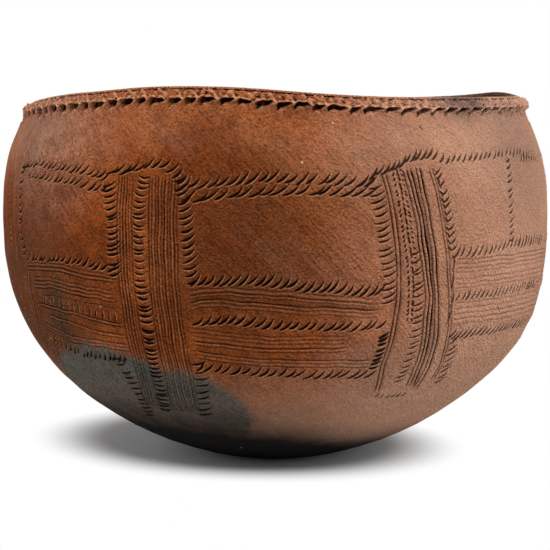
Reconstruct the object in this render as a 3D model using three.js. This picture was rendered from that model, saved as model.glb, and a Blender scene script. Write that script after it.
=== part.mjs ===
// Terracotta cooking bowl, hand built from a moulded round base, six coiled courses of wall and a
// notched rim coil. Millimetres, +Z up. The origin is the middle of the worn spot that the bowl rests
// on. Azimuths are in degrees: 0 is the front (-Y) and they grow towards +X.
import * as THREE from 'three';

// Outside of the vessel, from the ground up
const FOOT_RADIUS = 30; // worn flat spot under the round bottom
const BELLY_RADIUS = 170; // widest ring
const BELLY_HEIGHT = 152.6; // from the ground to the widest ring
const SHOULDER_HEIGHT = 62.5; // from the widest ring to the neck under the lip
const NECK_RADIUS = 156;
const LIP_HEIGHT = 9.5; // from the neck to the ordinary rim

// Curvature of the outside, as exponents: 2 and 2 would be an ellipse
const BOTTOM_FULLNESS = 1.433;
const WALL_UPRIGHTNESS = 2.543;
const SHOULDER_CURL = 2.298;

// Thickness of the clay
const WALL = 8.5;
const FLOOR = 10;

// Courses that the wall is raised in
const BASE_SHELL_HEIGHT = 58;
const WALL_COURSES = 6;
const RIM_COIL_SKIRT = 7; // plain part of the rim coil below the neck

// Lip, measured outwards from the neck and down from the rim
const LIP_OVERHANG = 1.9;
const LIP_BEVEL_WIDTH = 6.2; // sloping band between the crown and the scalloped edge
const LIP_BEVEL_TOP = 1.9; // drop from the crown to the top of the band
const LIP_EDGE_DROP = 5.6; // drop from the rim to the edge between two teeth
const CROWN_WIDTH = 2.4;
const CROWN_ROUNDING = 3.6; // drop over which the crown runs into the inner wall

// Teeth left between the finger-nail notches under the lip
const NOTCHES = 96;
const TOOTH_DROP = 2.1; // how much lower a tooth hangs than the edge beside it
const NOTCH_DEPTH = 1.1; // how far a notch is pressed in behind the neck line
const NOTCH_RISE = 2.2; // height of the pressed hollow above the neck line
const STEPS_PER_NOTCH = 3;

// Crest where the hand-drawn rim stands higher
const CREST_RISE = 6.2;
const CREST_AZIMUTH = -15;
const CREST_HALF_WIDTH = 29;

// Faceting of the round surfaces
const AZIMUTH_STEPS = 72;
const BASE_STEPS = 12;
const COURSE_STEPS = 3;

const CLAY_COLOURS = {
  base_shell: '#6f4636',
  wall_coil: '#9a5a3c',
  rim_coil: '#a8694b',
};

const neckHeight = BELLY_HEIGHT + SHOULDER_HEIGHT;
const rimHeight = neckHeight + LIP_HEIGHT;
const rimSeat = neckHeight - RIM_COIL_SKIRT;
const courseHeight = (rimSeat - BASE_SHELL_HEIGHT) / WALL_COURSES;

// One side of the vessel's wall. Station 0 is the edge of the flat spot, 1 the widest ring and 2 the neck.
function surface(bellyRadius, neckRadius, floorHeight) {
  const depth = BELLY_HEIGHT - floorHeight;
  const pointAt = (station) => {
    if (station <= 1) {
      const angle = (station * Math.PI) / 2;
      const spread = Math.pow(Math.sin(angle), 2 / BOTTOM_FULLNESS);
      const climb = 1 - Math.pow(Math.cos(angle), 2 / WALL_UPRIGHTNESS);
      return new THREE.Vector2(FOOT_RADIUS + (bellyRadius - FOOT_RADIUS) * spread, floorHeight + depth * climb);
    }
    const rise = station - 1;
    const radius = bellyRadius - (bellyRadius - neckRadius) * Math.pow(rise, SHOULDER_CURL);
    return new THREE.Vector2(radius, BELLY_HEIGHT + SHOULDER_HEIGHT * rise);
  };
  const stationAt = (height) => {
    if (height >= BELLY_HEIGHT) return 1 + (height - BELLY_HEIGHT) / SHOULDER_HEIGHT;
    const cosine = Math.pow(1 - (height - floorHeight) / depth, WALL_UPRIGHTNESS / 2);
    return Math.acos(cosine) / (Math.PI / 2);
  };
  return { pointAt, stationAt };
}

const outside = surface(BELLY_RADIUS, NECK_RADIUS, 0);
const inside = surface(BELLY_RADIUS - WALL, NECK_RADIUS - WALL, FLOOR);

// Points of a surface between two heights, from the lower to the upper
function stretch(side, fromHeight, toHeight, steps) {
  const first = side.stationAt(fromHeight);
  const last = side.stationAt(toHeight);
  const points = [];
  for (let i = 0; i <= steps; i += 1) {
    points.push(side.pointAt(THREE.MathUtils.lerp(first, last, i / steps)));
  }
  return points;
}

// Turns a profile of radius and height about the vertical axis
function turned(profile) {
  const geometry = new THREE.LatheGeometry(profile, AZIMUTH_STEPS);
  geometry.rotateX(Math.PI / 2);
  return geometry;
}

// Round bottom, shaped over a mould, with its rim cut level for the first coil
function baseShell() {
  const outer = stretch(outside, 0, BASE_SHELL_HEIGHT, BASE_STEPS);
  const inner = stretch(inside, FLOOR, BASE_SHELL_HEIGHT, BASE_STEPS).reverse();
  return turned([new THREE.Vector2(0, 0), ...outer, ...inner, new THREE.Vector2(0, FLOOR)]);
}

// One course of wall between two level joints
function wallCourse(bottom, top) {
  const outer = stretch(outside, bottom, top, COURSE_STEPS);
  const inner = stretch(inside, bottom, top, COURSE_STEPS).reverse();
  return turned([...outer, ...inner, outer[0]]);
}

function rimHeightAt(azimuth) {
  const offset = THREE.MathUtils.euclideanModulo(azimuth - CREST_AZIMUTH + 180, 360) - 180;
  return rimHeight + CREST_RISE * Math.exp(-Math.pow(Math.abs(offset) / CREST_HALF_WIDTH, 3));
}

// Section of the rim coil: up the outside, over the lip and crown, and down the inside
function rimSection(azimuth, onTooth) {
  const rim = rimHeightAt(azimuth);
  const edgeRadius = NECK_RADIUS + LIP_OVERHANG;
  const bandTop = edgeRadius - LIP_BEVEL_WIDTH;
  const innerRadius = NECK_RADIUS - WALL;
  const crownMiddle = (bandTop + innerRadius) / 2;
  const pressed = onTooth ? 0 : NOTCH_DEPTH;
  const hang = onTooth ? TOOTH_DROP : 0;
  return [
    [outside.pointAt(outside.stationAt(rimSeat)).x, rimSeat],
    [NECK_RADIUS, rim - LIP_HEIGHT],
    [NECK_RADIUS - pressed, rim - LIP_HEIGHT + NOTCH_RISE / 2],
    [NECK_RADIUS + LIP_OVERHANG / 2 - pressed, rim - LIP_HEIGHT + NOTCH_RISE - hang / 2],
    [edgeRadius, rim - LIP_EDGE_DROP - hang],
    [bandTop, rim - LIP_BEVEL_TOP],
    [crownMiddle + CROWN_WIDTH / 2, rim],
    [crownMiddle - CROWN_WIDTH / 2, rim],
    [innerRadius, rim - CROWN_ROUNDING],
    [inside.pointAt(inside.stationAt(rimSeat)).x, rimSeat],
  ];
}

// Closed ring whose section changes with the azimuth
function ring(sectionAt, steps) {
  const positions = [];
  const faces = [];
  for (let i = 0; i < steps; i += 1) {
    const section = sectionAt(i);
    const angle = (i / steps) * 2 * Math.PI;
    const count = section.length;
    section.forEach(([radius, height], j) => {
      positions.push(radius * Math.sin(angle), -radius * Math.cos(angle), height);
      const here = i * count + j;
      const above = i * count + ((j + 1) % count);
      const beside = ((i + 1) % steps) * count + j;
      const across = ((i + 1) % steps) * count + ((j + 1) % count);
      faces.push(here, beside, across, here, across, above);
    });
  }
  const geometry = new THREE.BufferGeometry();
  geometry.setAttribute('position', new THREE.Float32BufferAttribute(positions, 3));
  geometry.setIndex(faces);
  geometry.computeVertexNormals();
  return geometry;
}

// Last coil, with the lip folded out of it and notched by finger nail all round
function rimCoil() {
  const steps = NOTCHES * STEPS_PER_NOTCH;
  return ring((i) => rimSection((i / steps) * 360, i % STEPS_PER_NOTCH === 0), steps);
}

function clay(name, colour, geometry) {
  const material = new THREE.MeshStandardMaterial({ color: colour, roughness: 0.88, metalness: 0 });
  const mesh = new THREE.Mesh(geometry, material);
  mesh.name = name;
  return mesh;
}

const bowl = new THREE.Group();
bowl.add(clay('base_shell', CLAY_COLOURS.base_shell, baseShell()));
for (let course = 0; course < WALL_COURSES; course += 1) {
  const bottom = BASE_SHELL_HEIGHT + course * courseHeight;
  const geometry = wallCourse(bottom, bottom + courseHeight);
  bowl.add(clay(`wall_coil_${course + 1}`, CLAY_COLOURS.wall_coil, geometry));
}
bowl.add(clay('rim_coil', CLAY_COLOURS.rim_coil, rimCoil()));

export default bowl;
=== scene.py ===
"""Terracotta cooking bowl: fired clay pieces with a notched lip, nail cuts and combing, and a studio."""

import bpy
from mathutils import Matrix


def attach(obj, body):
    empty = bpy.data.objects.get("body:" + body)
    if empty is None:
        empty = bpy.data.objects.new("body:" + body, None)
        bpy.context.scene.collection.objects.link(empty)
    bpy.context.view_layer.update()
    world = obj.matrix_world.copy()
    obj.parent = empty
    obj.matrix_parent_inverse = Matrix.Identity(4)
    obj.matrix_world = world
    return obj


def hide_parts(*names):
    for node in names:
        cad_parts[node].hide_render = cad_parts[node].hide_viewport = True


bl_info = {
    "name": "Terracotta cooking bowl",
    "version": (1, 0, 0),
    "blender": (4, 5, 0),
    "location": "View3D > Sidebar > Cooking bowl",
    "description": "Builds the dressed clay pieces of a round-bottomed cooking bowl around its CAD frame",
    "category": "Object",
}

import bmesh
import bpy
import numpy as np
from mathutils import Vector

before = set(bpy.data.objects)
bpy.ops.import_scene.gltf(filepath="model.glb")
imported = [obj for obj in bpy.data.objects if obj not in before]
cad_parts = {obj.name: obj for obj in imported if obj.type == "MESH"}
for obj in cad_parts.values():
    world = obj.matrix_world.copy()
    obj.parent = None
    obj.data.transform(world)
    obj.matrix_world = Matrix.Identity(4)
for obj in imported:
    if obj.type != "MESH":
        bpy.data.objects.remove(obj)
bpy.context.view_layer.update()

# Outside of the vessel in millimetres, with the names and values of the part's source
FOOT_RADIUS = 30.0
BELLY_RADIUS = 170.0
BELLY_HEIGHT = 152.6
SHOULDER_HEIGHT = 62.5
NECK_RADIUS = 156.0
LIP_HEIGHT = 9.5
BOTTOM_FULLNESS = 1.433
WALL_UPRIGHTNESS = 2.543
SHOULDER_CURL = 2.298
WALL = 8.5
FLOOR = 10.0
BASE_SHELL_HEIGHT = 58.0
WALL_COURSES = 6
RIM_COIL_SKIRT = 7.0
LIP_OVERHANG = 1.9
LIP_BEVEL_WIDTH = 6.2
LIP_BEVEL_TOP = 1.9
LIP_EDGE_DROP = 5.6
CROWN_WIDTH = 2.4
CROWN_ROUNDING = 3.6
NOTCHES = 96
CREST_RISE = 6.2
CREST_AZIMUTH = -15.0
CREST_HALF_WIDTH = 29.0

NECK_HEIGHT = BELLY_HEIGHT + SHOULDER_HEIGHT
RIM_HEIGHT = NECK_HEIGHT + LIP_HEIGHT
RIM_SEAT = NECK_HEIGHT - RIM_COIL_SKIRT
COURSE_HEIGHT = (RIM_SEAT - BASE_SHELL_HEIGHT) / WALL_COURSES

# How far the clay lies inside the CAD surface in mm, so that burrs and beads stay within it
SKIN_ALLOWANCE = 0.3
BELLY_ALLOWANCE = 0.03
CROWN_ALLOWANCE = 0.35
INSIDE_ALLOWANCE = 0.2

# Unevenness of the hand-made form. A swell of the rim has a rise in mm, and an azimuth and a half width in
# degrees. The bulge and the hollow of the wall have a size in mm, the same two values in degrees, and then
# the drop below the neck and the half width down the wall in mm.
RIM_SWELLS = (
    (1.1, -51.0, 10.0),
    (-1.4, 4.0, 13.0),
    (-4.6, -87.0, 20.0),
    (2.3, 106.0, 13.0),
    (-1.4, 144.0, 16.0),
)
RIGHT_BULGE = (2.45, 88.0, 42.0, 140.0, 42.0)
LEFT_HOLLOW = (0.9, -88.0, 26.0, 11.0, 8.0)

# Height of the smoothing tool's marks outside and of the waves inside, in mm
TOOL_MARKS = 0.16
INSIDE_WAVES = 0.3

# Course of the unevenness: seed, most lobes in a turn, and least length of its waves down the wall in mm
HAND_COURSE = (5, 9, 90.0)
TOOL_COURSE = (8, 60, 14.0)
COMB_COURSE = (61, 80, 26.0)
INSIDE_COURSE = (17, 12, 70.0)

# Clay pushed up by the nail and the comb, in mm, and the comb's ridges as a share of its grooves
BURR_HEIGHT = 0.42
HIGHEST_BURR = 0.25
RIDGE_SHARE = 0.2

# Half width of a comb's groove in mm, and how much more of it a firm stroke makes
GROOVE_WIDTH = 0.42
GROOVE_WIDENING = 0.18

# Finger-nail notches under the lip, in mm. They are taller at the left.
NOTCH_DEPTH = 2.7
NOTCH_HEIGHT = 3.3
LEFT_NOTCH_GAIN = 1.5

# Fineness of the carved skin: columns all round, closer together at the front than at the back, and rows.
# The base has coarse rows below the fine ones that reach down to a drop in mm, and the notches' rows are
# given by how far below the lip's edge they lie, as shares of a notch's height.
COLUMNS = 1800
FRONT_CROWDING = 0.25
COURSE_ROWS = 48
FINE_BASE_ROWS = 40
FINE_BASE_DROP = 200.0
COARSE_BASE_ROWS = 8
INSIDE_BASE_ROWS = 4
INSIDE_COURSE_ROWS = 2
SKIRT_ROWS = 6
NOTCH_ROWS = (1.25, 1.1, 0.97, 0.84, 0.7, 0.56, 0.42, 0.28, 0.14, 0.04)
BAND_ROWS = 14

# Marks where there is no ornament: distance in mm to a cut, 1 on its lower side and 1 on the inside of the
# bowl, then the phase, pitch and strength of the combing
FAR_FROM_CUTS = 6.0
PLAIN_MARKS = {"cut": (FAR_FROM_CUTS, 0.0, 1.0), "comb": (0.0, 1.0, 0.0)}

# Finish of the meshes: distance in metres below which vertices merge, how close to a joint's height in mm
# an edge lies on it, and angle in radians over which the rim of a joint face is sharp
MERGE_DISTANCE = 2e-6
JOINT_TOLERANCE = 0.01
SHARP_ANGLE = 0.6

# Strips that the UV map is cut in, and margins at a strip's ends and sides as shares of it
STRIPS = 4
END_MARGIN = 0.002
SIDE_MARGIN = 0.008

# How much the high places are rubbed pale and painted as highlit
PLAIN_WEAR_AND_HIGHLIGHT = 0.0
RIM_WEAR_AND_HIGHLIGHT = 1.0


class BowlSizes(bpy.types.PropertyGroup):
    """Depths of the marks in the clay"""

    nail_depth: bpy.props.FloatProperty(
        name="Nail cut depth",
        description="How far a finger-nail cut goes into the wall",
        default=0.0014,
        min=0.0,
        max=0.003,
        unit="LENGTH",
    )
    comb_depth: bpy.props.FloatProperty(
        name="Comb groove depth",
        description="How far a comb tooth goes into the wall",
        default=0.0009,
        min=0.0,
        max=0.002,
        unit="LENGTH",
    )
    unevenness: bpy.props.FloatProperty(
        name="Unevenness",
        description="How far the hand-shaped wall wanders inside its true form",
        default=0.0007,
        min=0.0,
        max=0.003,
        unit="LENGTH",
    )


class BowlColours(bpy.types.PropertyGroup):
    """Colours of the clay and of what fire left on it"""

    clay: bpy.props.StringProperty(
        name="Clay",
        description="Main colour of the fired clay, as an sRGB hex value",
        default="#904a1f",
    )
    # Pale clay is partly pale dust and partly painted light and sheen: the right side, the neck and the low
    # wall are painted paler where the lamps fall
    pale_and_lit_clay: bpy.props.StringProperty(
        name="Pale clay",
        description="Paler, dustier places of the fired clay, as an sRGB hex value",
        default="#c39277",
    )
    deep_clay: bpy.props.StringProperty(
        name="Deep clay",
        description="Redder, more strongly fired places, as an sRGB hex value",
        default="#703512",
    )
    # Rubbed clay is partly clay rubbed clean and partly a painted highlight on burrs, ridges, folds and the
    # lip's edge
    rubbed_and_highlit_clay: bpy.props.StringProperty(
        name="Rubbed clay",
        description="Burrs, ridges and folds rubbed clean, as an sRGB hex value",
        default="#d8946a",
    )
    soot: bpy.props.StringProperty(
        name="Soot",
        description="Smoke cloud of the firing and soot of the cooking fire, as an sRGB hex value",
        default="#5a5951",
    )


def linear(text):
    """Linear RGBA of an sRGB hex value."""
    values = [int(text[i : i + 2], 16) / 255 for i in (1, 3, 5)]
    return [v / 12.92 if v <= 0.04045 else ((v + 0.055) / 1.055) ** 2.4 for v in values] + [1.0]


def smooth(low, high, value):
    """0 below low and 1 above high, with a smooth run between."""
    t = np.clip((value - low) / (high - low), 0.0, 1.0)
    return t * t * (3.0 - 2.0 * t)


# Form of the vessel, in mm, with azimuths in degrees


def side(station, belly, neck, floor):
    """Radius and height of one side of the wall: station 0 is the foot, 1 the widest ring, 2 the neck."""
    station = np.asarray(station, float)
    turn = np.clip(station, 0.0, 1.0) * np.pi / 2
    low_radius = FOOT_RADIUS + (belly - FOOT_RADIUS) * np.sin(turn) ** (2 / BOTTOM_FULLNESS)
    low_height = floor + (BELLY_HEIGHT - floor) * (1 - np.cos(turn) ** (2 / WALL_UPRIGHTNESS))
    rise = np.clip(station - 1.0, 0.0, 1.0)
    high_radius = belly - (belly - neck) * rise**SHOULDER_CURL
    high_height = BELLY_HEIGHT + SHOULDER_HEIGHT * rise
    low = station <= 1.0
    return np.where(low, low_radius, high_radius), np.where(low, low_height, high_height)


STATIONS = np.linspace(0.0, 2.0, 8001)
OUT_RADIUS, OUT_HEIGHT = side(STATIONS, BELLY_RADIUS, NECK_RADIUS, 0.0)
IN_RADIUS, IN_HEIGHT = side(STATIONS, BELLY_RADIUS - WALL, NECK_RADIUS - WALL, FLOOR)
ARC = np.concatenate(([0.0], np.cumsum(np.hypot(np.diff(OUT_RADIUS), np.diff(OUT_HEIGHT)))))
DROP = ARC[-1] - ARC  # way down the wall from the neck, in mm


def inner(height):
    """Inside radius at a height."""
    return np.interp(height, IN_HEIGHT, IN_RADIUS)


def radius_at(drop):
    """Outside radius at a way down the wall."""
    return np.interp(drop, DROP[::-1], OUT_RADIUS[::-1])


def drop_of(height):
    """Way down the wall from the neck to a height."""
    return float(np.interp(height, OUT_HEIGHT, DROP))


def degrees_from(azimuth, middle):
    """Degrees from a middle to an azimuth, between -180 and 180."""
    return (np.asarray(azimuth) - middle + 180.0) % 360.0 - 180.0


def around_bump(azimuth, middle, width):
    """Smooth hump of height 1 at an azimuth."""
    return np.exp(-((degrees_from(azimuth, middle) / width) ** 2))


def rim_top(azimuth):
    """Height of the crown of the lip: a crest at the front left, and hollows and swells all round."""
    crest = CREST_RISE * np.exp(-np.abs(degrees_from(azimuth, CREST_AZIMUTH) / CREST_HALF_WIDTH) ** 3)
    top = RIM_HEIGHT - CROWN_ALLOWANCE + crest
    for rise, middle, width in RIM_SWELLS:
        top = top + rise * around_bump(azimuth, middle, width)
    return top


def wander(azimuth, drop, seed, lobes, waves):
    """Slow unevenness of hand-shaped clay between -1 and 1, closed all round.

    It has up to so many lobes in a turn, and waves at least so many mm long down the wall.
    """
    chance = np.random.default_rng(seed)
    total = np.zeros(np.broadcast(azimuth, drop).shape)
    weight = 0.0
    for _ in range(14):
        around = chance.integers(1, lobes + 1)
        along = chance.uniform(-1, 1) * 2 * np.pi / waves
        phase = chance.uniform(0, 2 * np.pi)
        size = 1.0 / (1.0 + 0.25 * around)
        total = total + size * np.cos(np.radians(azimuth) * around + drop * along + phase)
        weight += size * size / 2
    return np.clip(total / (2.2 * weight**0.5), -1.0, 1.0)


def crumble(azimuth, seed, fewest, most):
    """Unevenness between -1 and 1 along the rim, with so many lumps in a turn, closed all round."""
    chance = np.random.default_rng(seed)
    total = 0.0 * azimuth
    for _ in range(12):
        lumps = chance.integers(fewest, most + 1)
        total = total + np.cos(np.radians(azimuth) * lumps + chance.uniform(0, 2 * np.pi))
    return np.clip(total / 4.0, -1.0, 1.0)


# Ornament, laid out by azimuth in degrees (0 at the front) and drop in mm below the neck

# Half length and half width of a nail cut, as shares of the length and width asked for
CUT_HALF_LENGTH = 0.62
CUT_HALF_WIDTH = 0.4

# How unevenly the hand sets its cuts: in place (share of the spacing, then mm), in slant (degrees), and
# the ranges that multiply length, width, depth and bow
PITCH_SCATTER = 0.07
DROP_SCATTER = 0.35
SLANT_SCATTER = 4.0
LENGTH_RANGE = (0.84, 1.14)
WIDTH_RANGE = (0.8, 1.15)
DEPTH_RANGE = (0.8, 1.12)
BOW_RANGE = (0.6, 1.5)

# Around a cut, in mm: how far its marks reach, and the place and width of the burr on its lower side
CUT_MARGIN = 2.2
BURR_PLACE = 0.45
BURR_WIDTH = 0.32

# Combing, in mm: widest gap beside an outer tooth, least radius at which an upright comb draws, length of a
# degree round the belly, and how far the grooves sway
WIDEST_SIDE_GAP = 2.2
LEAST_COMBED_RADIUS = 110.0
DEGREE_LENGTH = 2.9
COMB_SWAY = 0.42

# Seeds of the cuts' scatter and of the first comb pass
CUT_SEED = 41
FIRST_COMB_SEED = 900

# Quick and slow beat of the hand's pressure, in radians per mm down the wall and per degree round it
UPRIGHT_BEATS = (0.21, 0.083)
LEVEL_BEATS = (0.61, 0.23)


def pressure(way, number, beats):
    """How the hand's pressure wanders along a comb pass, between 0.7 and 1."""
    quick, slow = beats
    return 0.85 + 0.15 * (np.cos(way * quick + number) * np.cos(way * slow + 2.0 * number))


class Ornament:
    """Nail cuts and comb passes in the soft clay. Each path is moved round the bowl by turned degrees."""

    def __init__(self, seed):
        self.chance = np.random.default_rng(seed)
        self.turned = 0.0
        self.cuts = []
        self.passes = []

    def nails(self, path, pitch, length, slant, width=1.5, depth=1.0, bow=0.19):
        """Cuts set side by side along a path. Slant is the rise to the right, in degrees."""
        path = np.array(path, float) + (self.turned, 0.0)
        around = np.radians(path[:, 0]) * radius_at(path[:, 1]).mean()
        way = np.concatenate(([0.0], np.cumsum(np.hypot(np.diff(around), np.diff(path[:, 1])))))
        count = max(2, int(round(way[-1] / pitch)) + 1)
        for place in np.linspace(0.0, way[-1], count):
            place = place + self.chance.normal(0.0, PITCH_SCATTER * pitch)
            azimuth = np.interp(place, way, path[:, 0])
            drop = np.interp(place, way, path[:, 1]) + self.chance.normal(0.0, DROP_SCATTER)
            half = length * CUT_HALF_LENGTH * self.chance.uniform(*LENGTH_RANGE)
            turn = np.radians(slant + self.chance.normal(0.0, SLANT_SCATTER))
            wide = width * CUT_HALF_WIDTH * self.chance.uniform(*WIDTH_RANGE)
            deep = depth * self.chance.uniform(*DEPTH_RANGE)
            sag = bow * half * self.chance.uniform(*BOW_RANGE)
            self.cuts.append((azimuth, drop, half, turn, wide, deep, sag))

    def comb(self, path, teeth, depth=1.0, upright=False, fade=5.0):
        """Grooves drawn together along a path, each tooth at its offset in mm to the right of it or below."""
        path = np.array(path, float) + (self.turned, 0.0)
        self.passes.append((path, np.array(teeth, float), depth, upright, fade))

    def carve(self, azimuth, drop):
        """Marks at every point of a grid of rows (drop, rising) and columns (azimuth, rising)."""
        shape = (len(drop), len(azimuth))
        radius = radius_at(drop)
        edge = np.full(shape, FAR_FROM_CUTS)
        flank = np.zeros(shape)
        hollow = np.zeros(shape)
        burr = np.zeros(shape)
        for cut in self.cuts:
            self.press_cut(cut, (azimuth, drop, radius), (edge, flank, hollow, burr))
        phase = np.zeros(shape)
        pitch = np.ones(shape)
        strength = np.zeros(shape)
        sway = COMB_SWAY * wander(azimuth[None, :], drop[:, None], *COMB_COURSE)
        for number, comb in enumerate(self.passes):
            self.draw_comb(number, comb, (azimuth, drop, radius, sway), (phase, pitch, strength))
        return (edge, flank), hollow, burr, (phase, pitch, strength)

    def press_cut(self, cut, grid, marks):
        """Presses one nail cut into the grid: a bowed leaf, blunt at its lower left end and pointed above."""
        middle, down, half, turn, wide, deep, sag = cut
        azimuth, drop, radius = grid
        edge, flank, hollow, burr = marks
        reach = half + CUT_MARGIN
        top, bottom = np.searchsorted(drop, (down - reach, down + reach))
        if top == bottom:
            return
        spread = np.degrees(reach / radius[top:bottom].min())
        for lap in (-360.0, 0.0, 360.0):
            left, right = np.searchsorted(azimuth, (middle + lap - spread, middle + lap + spread))
            if left == right:
                continue
            block = (slice(top, bottom), slice(left, right))
            across = np.radians(azimuth[left:right] - middle - lap)[None, :] * radius[top:bottom, None]
            up = np.broadcast_to((down - drop[top:bottom])[:, None], across.shape)
            along = across * np.cos(turn) + up * np.sin(turn)
            off = up * np.cos(turn) - across * np.sin(turn)
            held = np.clip(along, -half, half)
            share = held / half
            off = off + sag * (1.0 - share**2)
            leaf = wide * (1.0 - share**2) ** 0.6 * (1.0 - 0.45 * share)
            distance = np.hypot(along - held, off) - leaf
            below = smooth(0.25, -0.35, off) * (1.0 - 0.6 * share**2)
            flank[block] = np.where(distance < edge[block], below, flank[block])
            edge[block] = np.minimum(edge[block], distance)
            hollow[block] = np.maximum(hollow[block], deep * smooth(0.2, -0.8 * wide, distance))
            raised = np.exp(-(((distance - BURR_PLACE) / BURR_WIDTH) ** 2)) * below
            burr[block] = np.maximum(burr[block], np.where(distance < 0.0, 0.0, raised))

    def draw_comb(self, number, comb, grid, marks):
        """Draws one comb pass into the grid."""
        path, teeth, depth, upright, fade = comb
        azimuth, drop, radius, sway = grid
        phase, pitch, strength = marks
        gaps = np.diff(teeth) if len(teeth) > 1 else np.array([2.0])
        gaps = np.concatenate(([min(gaps[0], WIDEST_SIDE_GAP)], gaps, [min(gaps[-1], WIDEST_SIDE_GAP)]))
        lines = np.concatenate(([teeth[0] - gaps[0]], teeth, [teeth[-1] + gaps[-1]]))
        chance = np.random.default_rng(FIRST_COMB_SEED + number)
        press = np.concatenate(([0.0], chance.uniform(0.5, 1.0, len(teeth)), [0.0]))
        low, high = path.min(axis=0), path.max(axis=0)
        margin = abs(lines).max() + 1.0
        if upright:
            rows = slice(*np.searchsorted(drop, (low[1], high[1])))
            side_way = np.degrees(margin / LEAST_COMBED_RADIUS)
            span = (low[0] - side_way, high[0] + side_way)
        else:
            rows = slice(*np.searchsorted(drop, (low[1] - margin, high[1] + margin)))
            span = (low[0], high[0])
        if rows.start == rows.stop:
            return
        for lap in (-360.0, 0.0, 360.0):
            columns = slice(*np.searchsorted(azimuth, (span[0] + lap, span[1] + lap)))
            if columns.start == columns.stop:
                continue
            here = azimuth[columns] - lap
            down = drop[rows]
            if upright:
                centre = np.interp(down, path[:, 1], path[:, 0])
                off = np.radians(here[None, :] - centre[:, None]) * radius[rows, None]
                run = np.minimum(down - low[1], high[1] - down)[:, None]
                firmness = pressure(down, number, UPRIGHT_BEATS)[:, None]
            else:
                centre = np.interp(here, path[:, 0], path[:, 1])
                off = down[:, None] - centre[None, :]
                run = np.minimum(here - low[0], high[0] - here)[None, :] * DEGREE_LENGTH
                firmness = pressure(here, number, LEVEL_BEATS)[None, :]
            off = off + sway[rows, columns]
            place = np.interp(off, lines, np.arange(len(lines)))
            near = np.clip(np.round(place).astype(int), 0, len(lines) - 1)
            cell = np.clip(np.floor(place).astype(int), 0, len(gaps) - 1)
            power = depth * press[near] * smooth(0.0, fade, run) * firmness
            stronger = power > strength[rows, columns]
            phase[rows, columns] = np.where(stronger, place, phase[rows, columns])
            pitch[rows, columns] = np.where(stronger, gaps[cell], pitch[rows, columns])
            strength[rows, columns] = np.where(stronger, power, strength[rows, columns])


def shifted(path, by):
    """A path moved round the bowl."""
    return [(azimuth + by, drop) for azimuth, drop in path]


def ladder_band(ornament):
    """Upright band with an arch of cuts, a ladder of rungs and combed sides."""
    arch = ((-34, 36), (-32, 32), (-29, 31), (-25, 29), (-22, 28), (-20.5, 29), (-18.7, 33), (-17.5, 38))
    ornament.nails(arch, 4.7, 8.0, 40)
    ornament.nails(((-33, 40), (-32, 56), (-31.8, 72), (-31.6, 90)), 3.3, 8.2, 21, width=1.4)
    ornament.nails(((-36, 143), (-35, 152), (-35, 166), (-36, 181), (-38, 194)), 4.8, 7.0, 14)
    left_comb = ((-29, 33), (-29, 90), (-28.8, 110), (-29.3, 135), (-30, 155), (-33.4, 186))
    ornament.comb(left_comb, (-5.6, -3.6, -1.7, 0.3, 2.2, 4.0), 1.0, True)
    ornament.nails(((-25, 35), (-26, 51), (-26, 92)), 3.3, 7.2, 1, width=1.25, depth=0.8, bow=0.26)
    wide_rungs = ((-25.9, 96), (-25.6, 119), (-26.4, 139), (-27.4, 164), (-30, 184))
    ornament.nails(wide_rungs, 3.5, 7.4, 3, width=1.9, depth=0.9, bow=0.26)
    right_comb = ((-21.2, 34), (-21.2, 92), (-21.1, 118), (-21.4, 150), (-23.8, 188))
    ornament.comb(right_comb, (-8.4, -6.6, -4.4, -2.8, -0.7, 0.9, 3.1, 4.7, 6.9, 8.7), 1.05, True)
    ornament.nails(((-18, 37), (-17, 48), (-16.3, 62), (-16, 76), (-15.4, 92)), 4.1, 7.4, 27, width=1.4)
    ornament.nails(((-16, 142), (-16, 155), (-17, 168), (-18.5, 186)), 5.4, 8.0, 18, width=1.4)


def wide_panel(ornament):
    """Panel between a ladder band and a comb band: bare field with rows of cuts and drawn lines below."""
    first = ((-17, 39), (-14, 39), (-10, 38), (-7, 36), (-3, 35), (5, 36), (10, 36), (15, 38), (18, 38))
    ornament.nails(first, 5.3, 8.6, 39)
    second = ((-16, 46), (-11, 45), (-6, 43), (-2, 42), (6, 42), (12, 43), (18, 44))
    ornament.nails(second, 6.4, 9.6, 36)
    third = ((-15, 92), (-10, 92), (-4, 91), (2, 93), (6, 94.5), (11, 95), (14, 97), (20, 98))
    ornament.nails(third, 4.5, 8.0, 44, width=1.6)
    upper = ((-17, 100), (-14, 98), (-9, 97), (-4, 98), (1, 99), (8, 101), (21, 105))
    ornament.comb(upper, (-1.5, 1.2, 3.2), 1.0)
    ornament.comb(((1, 106), (8, 107), (21, 109)), (-2.4, -0.6, 1.2), 0.35)
    lower = ((-17, 108), (-14, 105), (-10, 105), (-4, 106), (2, 108), (13, 110), (21, 112))
    ornament.comb(lower, (-2.4, -0.2, 2.2), 1.0)
    fourth = ((-15, 115), (-11, 114), (-5, 114), (-1, 116), (5, 117), (11, 118), (21, 118))
    ornament.nails(fourth, 5.0, 7.6, 43, width=1.6)
    ornament.comb(((-17, 125), (-11, 126), (-4, 128.5), (3, 129), (15, 129)), (-5, -2.5, 0, 2.8, 5.4), 1.0)
    lowest = ((-17, 136), (-12, 138), (-7, 140), (2, 141.5), (9, 142), (21, 143.5))
    ornament.comb(lowest, (-2.4, 0, 2.6), 1.0)
    fifth = ((-16, 144), (-12, 146), (-7, 147), (-1, 148), (5, 149), (12, 150), (21, 151))
    ornament.nails(fifth, 5.1, 8.0, 44, width=1.7)


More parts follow.
